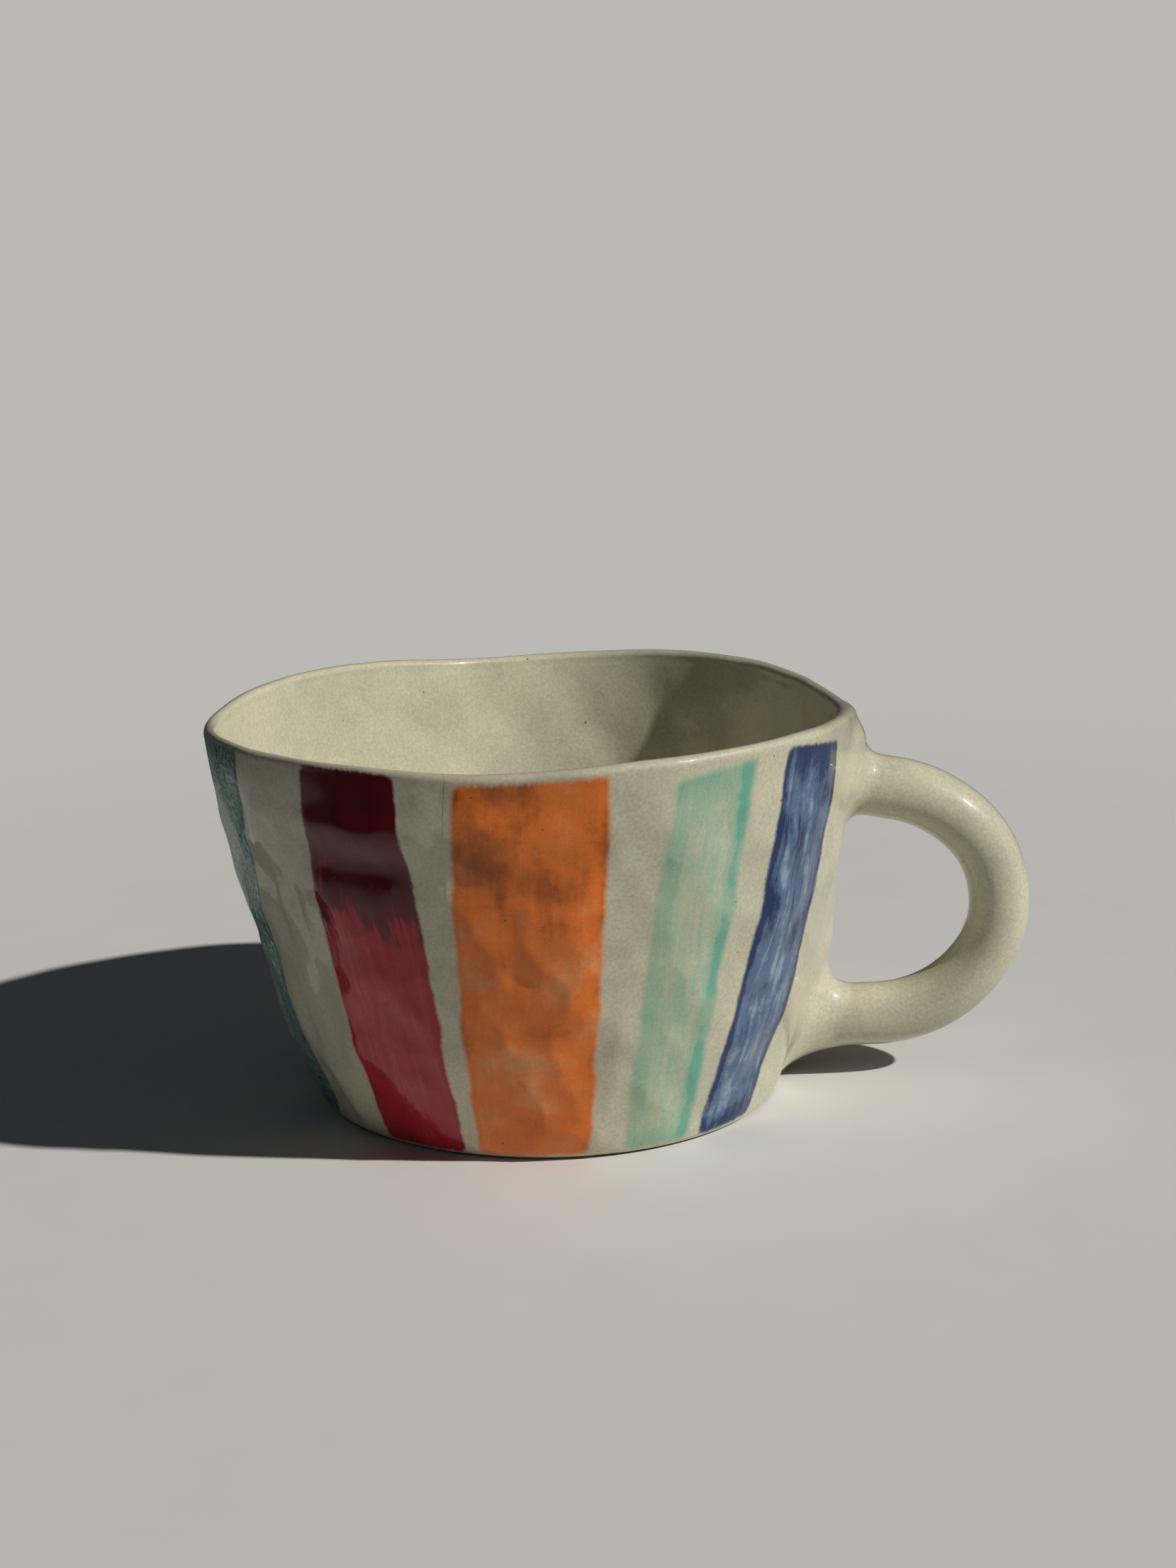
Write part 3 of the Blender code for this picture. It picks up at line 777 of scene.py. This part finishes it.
def build_stripe(name, left, right, top, foot):
    """A thin skin over the wall that carries one stripe, feathered into the clay round it."""
    margin = PATCH_MARGIN / BASE_RADIUS
    widest = max(edge_angle(right, s) - edge_angle(left, s) for s in (0.0, 0.5, 1.0))
    columns = int((widest + 2.0 * margin) * RIM_RADIUS / PATCH_CELL)
    share = patch_shares()[:, None]
    rows = len(share)
    profile = np.stack([mean_radius(share) - outer_place(share)[0], share * HEIGHT], axis=-1)
    cells = np.linalg.norm(np.diff(profile[:, 0], axis=0), axis=-1)
    length = np.concatenate([[0.0], np.cumsum(cells)])
    across = np.linspace(0.0, 1.0, columns)[None, :]
    low = edge_angle(left, share) - margin
    high = edge_angle(right, share) + margin
    angle = low + (high - low) * across
    share, angle = np.broadcast_arrays(share, angle)
    radius = mean_radius(share)
    from_left = (angle - edge_angle(left, share)) * radius
    from_right = (edge_angle(right, share) - angle) * radius
    place = np.clip(from_left / (from_left + from_right), 0.0, 1.0)
    heights = share[:, 0] * HEIGHT
    top_at = np.interp(HEIGHT - top[0] - (top[1] - top[0]) * place, heights, length)
    foot_at = np.interp(foot[0] + (foot[1] - foot[0]) * place, heights, length)
    along = length[:, None]
    from_end = np.minimum(top_at - along, along - foot_at)
    from_side = np.minimum(from_left, from_right) + PATCH_MARGIN
    border = np.minimum(from_side, np.minimum(length[-1] - along, along))
    lift = PATCH_LIFT - (PATCH_LIFT + PATCH_SINK) * (1.0 - smooth(border / PATCH_FEATHER))
    skin = outer_points(angle, share)
    normals = skin_normals(skin)
    top_side = skin + normals * lift[..., None]
    under_side = skin - normals * PATCH_DEPTH
    count = rows * columns
    faces = grid_faces(rows, columns)
    faces += grid_faces(rows, columns, start=count, flip=True)
    rim = ([row * columns for row in range(rows)][::-1] + list(range(1, columns))
           + [row * columns + columns - 1 for row in range(1, rows)]
           + [(rows - 1) * columns + column for column in range(1, columns - 1)][::-1])
    for here, after in zip(rim, rim[1:] + rim[:1]):
        faces.append((after, here, here + count, after + count))
    points = np.concatenate([top_side.reshape(-1, 3), under_side.reshape(-1, 3)])
    both = np.concatenate([normals.reshape(-1, 3), -normals.reshape(-1, 3)])
    piece = make_piece("mug_" + name, points, faces, normals=both)
    edges = np.stack([from_left, from_right, from_end], axis=-1) / MM
    stroke = np.stack([from_left, share * HEIGHT, np.zeros(share.shape)], axis=-1) / MM
    add_vectors(piece, "edges", np.concatenate([edges.reshape(-1, 3)] * 2))
    add_vectors(piece, "stroke", np.concatenate([stroke.reshape(-1, 3)] * 2))
    return piece


# ------ materials

class Shader:
    """A material's node tree, built node by node."""

    def __init__(self, name):
        self.material = bpy.data.materials.new(name)
        self.material.use_nodes = True
        self.tree = self.material.node_tree
        self.surface = self.tree.nodes["Principled BSDF"]

    def put(self, socket, value):
        """Link a socket to another, or set its value."""
        if isinstance(value, bpy.types.NodeSocket):
            self.tree.links.new(value, socket)
        elif isinstance(value, tuple) and len(value) == 3 and socket.type == "RGBA":
            socket.default_value = (*value, 1.0)
        else:
            socket.default_value = value

    def node(self, kind, inputs, **settings):
        """Add a node, set its inputs and return it."""
        made = self.tree.nodes.new("ShaderNode" + kind)
        for key, value in settings.items():
            setattr(made, key, value)
        for key, value in inputs.items():
            self.put(made.inputs[key], value)
        return made

    def maths(self, operation, first, second=0.0, third=0.0, clamp=False):
        """One step of arithmetic."""
        made = self.node("Math", {0: first, 1: second, 2: third}, operation=operation, use_clamp=clamp)
        return made.outputs[0]

    def stretched(self, vector, factors):
        """A vector times a vector, part by part."""
        return self.node("VectorMath", {0: vector, 1: factors}, operation="MULTIPLY").outputs[0]

    def scaled(self, colour, amount):
        """A colour times a number."""
        return self.node("VectorMath", {0: colour, "Scale": amount}, operation="SCALE").outputs[0]

    def ramp(self, value, low, high, start=0.0, end=1.0):
        """Ease a value from start to end as it goes from low to high."""
        made = self.node("MapRange", {0: value, 1: low, 2: high, 3: start, 4: end},
                         interpolation_type="SMOOTHSTEP")
        return made.outputs[0]

    def noise(self, vector, scale, detail=3.0, roughness=0.5, distortion=0.0):
        """Noise, mostly from 0.2 to 0.8 with its middle at 0.5."""
        made = self.node("TexNoise", {"Vector": vector, "Scale": scale, "Detail": detail,
                                      "Roughness": roughness, "Distortion": distortion})
        return made.outputs["Fac"]

    def mix(self, factor, first, second):
        """Mix two colours."""
        made = self.node("Mix", {0: factor, 6: first, 7: second}, data_type="RGBA")
        return made.outputs[2]

    def finish(self, colour, roughness, height, coat):
        """Join colour, roughness, height and clear coat to the surface."""
        self.put(self.surface.inputs["Base Color"], colour)
        self.put(self.surface.inputs["Roughness"], roughness)
        self.put(self.surface.inputs["Coat Weight"], coat)
        self.surface.inputs["Coat Roughness"].default_value = COAT_ROUGHNESS
        self.surface.inputs["Specular IOR Level"].default_value = BODY_SPECULAR
        self.surface.inputs["Coat IOR"].default_value = COAT_IOR
        bump = self.node("Bump", {"Height": height, "Strength": 1.0, "Distance": RELIEF_HEIGHT})
        self.put(self.surface.inputs["Normal"], bump.outputs[0])
        self.put(self.surface.inputs["Coat Normal"], bump.outputs[0])
        return self.material


def millimetres(shader):
    """The point on the object, in millimetres."""
    place = shader.node("TexCoord", {}).outputs["Object"]
    return shader.stretched(place, (1.0 / MM, 1.0 / MM, 1.0 / MM))


def spread(shader, value, gain):
    """Noise as an amount either side of 0."""
    return shader.maths("MULTIPLY", shader.maths("SUBTRACT", value, 0.5), gain)


def specks(shader, place):
    """Sparse iron specks: 1 in a speck and 0 elsewhere."""
    cells = shader.node("TexVoronoi", {"Vector": place, "Scale": SPECK_CELLS}, feature="F1")
    shares = shader.node("SeparateColor", {0: cells.outputs["Color"]}).outputs
    size = shader.maths("MULTIPLY", shares[0], SPECK_SIZE)
    chosen = shader.maths("GREATER_THAN", shares[1], SPECK_GAPS)
    inside = shader.maths("LESS_THAN", cells.outputs["Distance"], size)
    return shader.maths("MULTIPLY", inside, chosen)


def clay_layers(shader, place):
    """The cream glaze's colour, roughness and height, before any paint."""
    broad = shader.noise(place, *NOISES["broad cloud"])
    cloud = shader.noise(place, *NOISES["cloud"])
    fine = shader.noise(place, *NOISES["fine cloud"])
    tone = shader.maths("ADD", shader.maths("MULTIPLY", broad, CLOUD_SHARES[0]),
                        shader.maths("MULTIPLY", cloud, CLOUD_SHARES[1]))
    colour = shader.mix(shader.ramp(tone, *EASES["grey cloud"]), CREAM, CREAM_GREY)
    colour = shader.scaled(colour, shader.ramp(fine, *EASES["fine cloud"]))
    colour = shader.mix(shader.maths("MULTIPLY", specks(shader, place), SPECK_ON_GLAZE), colour, SPECK)
    soft = shader.maths("MULTIPLY", shader.noise(place, *NOISES["soft dents"]), DENT_HEIGHT)
    peel = shader.maths("MULTIPLY", shader.noise(place, *NOISES["orange peel"]), PEEL_HEIGHT)
    roughness = shader.ramp(cloud, *EASES["glaze roughness"])
    return colour, roughness, shader.maths("ADD", soft, peel)


def clay_material():
    """Glazed cream stoneware, bare at the foot and thin over the lip."""
    shader = Shader("cream_stoneware_glaze")
    place = millimetres(shader)
    colour, roughness, height = clay_layers(shader, place)
    lip = shader.node("Attribute", {}, attribute_name="lip").outputs["Fac"]
    bare = shader.node("Attribute", {}, attribute_name="bare").outputs["Fac"]
    broken = shader.noise(place, *NOISES["broken edge"])
    thin = shader.maths("ADD", lip, shader.maths("MULTIPLY", broken, LIP_RAGGEDNESS))
    colour = shader.mix(shader.ramp(thin, *EASES["thin lip"]), colour, LIP_CLAY)
    grain = shader.noise(place, *NOISES["clay grain"])
    edge = shader.maths("ADD", bare, shader.maths("MULTIPLY", broken, FOOT_RAGGEDNESS))
    edge = shader.ramp(edge, *EASES["bare foot"])
    colour = shader.mix(edge, colour, shader.mix(grain, BARE_CLAY_DARK, BARE_CLAY))
    roughness = shader.maths("MAXIMUM", roughness, shader.maths("MULTIPLY", edge, BARE_ROUGHNESS))
    rough_height = shader.maths("MULTIPLY", shader.maths("MULTIPLY", grain, edge), GRAIN_HEIGHT)
    coat = shader.maths("MULTIPLY", shader.maths("SUBTRACT", 1.0, edge), COAT)
    return shader.finish(colour, roughness, shader.maths("ADD", height, rough_height), coat)


def paint_amount(shader, place, stroke, sides, end, paint):
    """How thick the paint lies, from 0 to 1: streaked along, mottled, pooled at its edges and ends, and
    thickened towards the top as painted shade.
    """
    streaks = shader.stretched(stroke, (1.0 / paint["streak_width"], BRUSHED_ALONG, 0.0))
    brushed = shader.noise(streaks, *NOISES["brushed"])
    patches = shader.noise(place, *NOISES["patches"])
    up = shader.node("SeparateXYZ", {0: stroke}).outputs[1]
    amount = shader.maths("ADD", spread(shader, brushed, paint["streaks"]), paint["body"])
    amount = shader.maths("ADD", amount, spread(shader, patches, paint["mottle"]))
    speckle = shader.noise(place, *NOISES["speckle"])
    amount = shader.maths("ADD", amount, spread(shader, speckle, paint["speckle"]))
    lively = shader.noise(shader.stretched(stroke, STRETCHES["lively"]), *NOISES["lively"])
    lively = shader.ramp(lively, *EASES["lively"])
    width = paint["band_width"]
    for side, band in zip(sides, paint["bands"]):
        pooled = shader.ramp(side, POOL_START * width, width, band, 0.0)
        amount = shader.maths("ADD", amount, shader.maths("MULTIPLY", pooled, lively))
    # Painted shade: the paint thickens and darkens towards the top, with a ragged lower edge.
    top_shade = shader.maths("ADD", up, spread(shader, brushed, TOP_SHADE_STREAKS))
    top_shade = shader.maths("ADD", top_shade, spread(shader, patches, TOP_SHADE_PATCHES))
    amount = shader.maths("ADD", amount, shader.ramp(top_shade, *TOP_SHADE_HEIGHTS, 0.0, paint["top"]))
    return shader.maths("ADD", amount, shader.ramp(end, *END_POOL, paint["foot"], 0.0), clamp=True)


def paint_material(name, paint):
    """Brushed underglaze over the glazed clay, with soft and ragged edges."""
    shader = Shader(name + "_underglaze")
    place = millimetres(shader)
    cream, roughness, height = clay_layers(shader, place)
    edges = shader.node("Attribute", {}, attribute_name="edges").outputs["Vector"]
    stroke = shader.node("Attribute", {}, attribute_name="stroke").outputs["Vector"]
    left, right, end = shader.node("SeparateXYZ", {0: edges}).outputs
    fuzz = spread(shader, shader.noise(place, *NOISES["fuzz"]), EDGE_FUZZ)
    wobble = spread(shader, shader.noise(place, *NOISES["wobble"]), EDGE_WOBBLE)
    wobble = shader.maths("ADD", wobble, fuzz)
    bristles = shader.noise(shader.stretched(stroke, STRETCHES["bristles"]), *NOISES["bristles"])
    sides = [shader.maths("ADD", side, wobble) for side in (left, right)]
    ragged = shader.maths("ADD", shader.maths("ADD", end, spread(shader, bristles, END_BRISTLES)), fuzz)
    inside = shader.maths("SMOOTH_MIN", shader.maths("MINIMUM", *sides), ragged, EDGE_MEETING)
    cover = shader.ramp(inside, -paint["softness"], paint["softness"])
    amount = paint_amount(shader, place, stroke, sides, ragged, paint)
    pale, middle, deep = paint["tones"]
    colour = shader.mix(shader.ramp(amount, *EASES["middle to deep"]), middle, deep)
    colour = shader.mix(shader.ramp(amount, *EASES["pale to middle"]), pale, colour)
    grain = shader.noise(place, *NOISES["paint grain"])
    colour = shader.scaled(colour, shader.ramp(grain, *EASES["paint grain"]))
    colour = shader.mix(shader.maths("MULTIPLY", specks(shader, place), SPECK_ON_PAINT), colour, SPECK)
    colour = shader.mix(cover, cream, colour)
    thickness = shader.ramp(amount, 0.0, 1.0, PAINT_RELIEF, PAINT_RELIEF + paint["relief"])
    height = shader.maths("ADD", height, shader.maths("MULTIPLY", cover, thickness))
    coat = COAT if paint["gloss"] == COAT else shader.ramp(cover, 0.0, 1.0, COAT, paint["gloss"])
    return shader.finish(colour, roughness, height, coat)


# ------ the scene

def build_camera():
    """The camera, a little above the lip and rolled a little to one side."""
    elevation = math.radians(CAMERA_ELEVATION)
    roll = math.radians(CAMERA_ROLL)
    back = Vector((0.0, -math.cos(elevation), math.sin(elevation)))
    right = Vector((1.0, 0.0, 0.0))
    up = back.cross(right)
    tilted_right = right * math.cos(roll) - up * math.sin(roll)
    tilted_up = right * math.sin(roll) + up * math.cos(roll)
    data = bpy.data.cameras.new("camera")
    data.sensor_width = CAMERA_SENSOR
    data.lens = CAMERA_LENS
    data.clip_start = CAMERA_CLIP
    camera = bpy.data.objects.new("camera", data)
    turned_axes = Matrix((tilted_right, tilted_up, back)).transposed()
    place = Vector(CAMERA_TARGET) + back * CAMERA_DISTANCE
    camera.matrix_world = Matrix.Translation(place) @ turned_axes.to_4x4()
    bpy.context.scene.collection.objects.link(camera)
    bpy.context.scene.camera = camera


def direction(azimuth, elevation):
    """The direction towards a place in the sky, both angles in degrees."""
    a = math.radians(azimuth)
    e = math.radians(elevation)
    return Vector((math.cos(e) * math.cos(a), math.cos(e) * math.sin(a), math.sin(e)))


def build_key():
    """A low, slightly soft light from the handle's side."""
    towards = direction(*KEY_DIRECTION)
    data = bpy.data.lights.new("key", "SUN")
    data.energy = KEY_ENERGY
    data.angle = math.radians(KEY_SIZE)
    data.color = KEY_COLOUR
    light = bpy.data.objects.new("key", data)
    light.location = towards
    light.rotation_mode = "QUATERNION"
    light.rotation_quaternion = towards.to_track_quat("Z", "Y")
    bpy.context.scene.collection.objects.link(light)


def build_floor():
    """A plain pale floor at the mug's foot, which fades out round it."""
    shader = Shader("pale_floor")
    place = shader.node("TexCoord", {}).outputs["Object"]
    shade = shader.noise(place, *FLOOR_MOTTLE)
    shader.put(shader.surface.inputs["Base Color"], shader.mix(shade, *FLOOR_TONES))
    shader.surface.inputs["Roughness"].default_value = FLOOR_ROUGHNESS
    shader.surface.inputs["Specular IOR Level"].default_value = FLOOR_SPECULAR
    reach = shader.node("VectorMath", {0: place}, operation="LENGTH").outputs["Value"]
    shader.put(shader.surface.inputs["Alpha"], shader.ramp(reach, *FLOOR_FADE, 1.0, 0.0))
    level = CAD_BOX[0][2]
    bpy.ops.mesh.primitive_circle_add(vertices=FLOOR_SIDES, radius=FLOOR_RADIUS, fill_type="NGON",
                                      location=(0.0, 0.0, level))
    floor = bpy.context.object
    floor.name = "floor"
    floor.data.materials.append(shader.material)


def build_world():
    """A dim sky, and an even pale backdrop that only the camera sees."""
    world = bpy.data.worlds.new("studio")
    world.use_nodes = True
    tree = world.node_tree
    sky = tree.nodes["Background"]
    sky.inputs["Color"].default_value = SKY_COLOUR
    sky.inputs["Strength"].default_value = SKY_STRENGTH
    backdrop = tree.nodes.new("ShaderNodeBackground")
    backdrop.inputs["Color"].default_value = BACKDROP_COLOUR
    seen = tree.nodes.new("ShaderNodeLightPath")
    chosen = tree.nodes.new("ShaderNodeMixShader")
    tree.links.new(seen.outputs["Is Camera Ray"], chosen.inputs[0])
    tree.links.new(sky.outputs[0], chosen.inputs[1])
    tree.links.new(backdrop.outputs[0], chosen.inputs[2])
    tree.links.new(chosen.outputs[0], tree.nodes["World Output"].inputs[0])
    bpy.context.scene.world = world
    view = bpy.context.scene.view_settings
    view.view_transform = "Standard"
    view.gamma = VIEW_GAMMA


def dress(piece, material, node):
    """Give a piece its material and its body, and hide the CAD node that it stands for."""
    piece.data.materials.append(material)
    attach(piece, "root")
    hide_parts(node)


def main():
    """Build the mug, the floor and sky round it, the light and the camera."""
    clay = clay_material()
    clay_nodes = ("body_wall", "base_slab", "handle_upper_joint", "handle_coil", "handle_lower_joint")
    for piece, node in zip([build_wall(), build_base(), *build_handle()], clay_nodes):
        dress(piece, clay, node)
    paints = {name: paint_material(name, paint) for name, paint in PAINTS.items()}
    for name, paint, left, right, top, foot in STRIPES:
        dress(build_stripe(name, left, right, top, foot), paints[paint], name)
    build_floor()
    build_world()
    build_camera()
    build_key()


main()
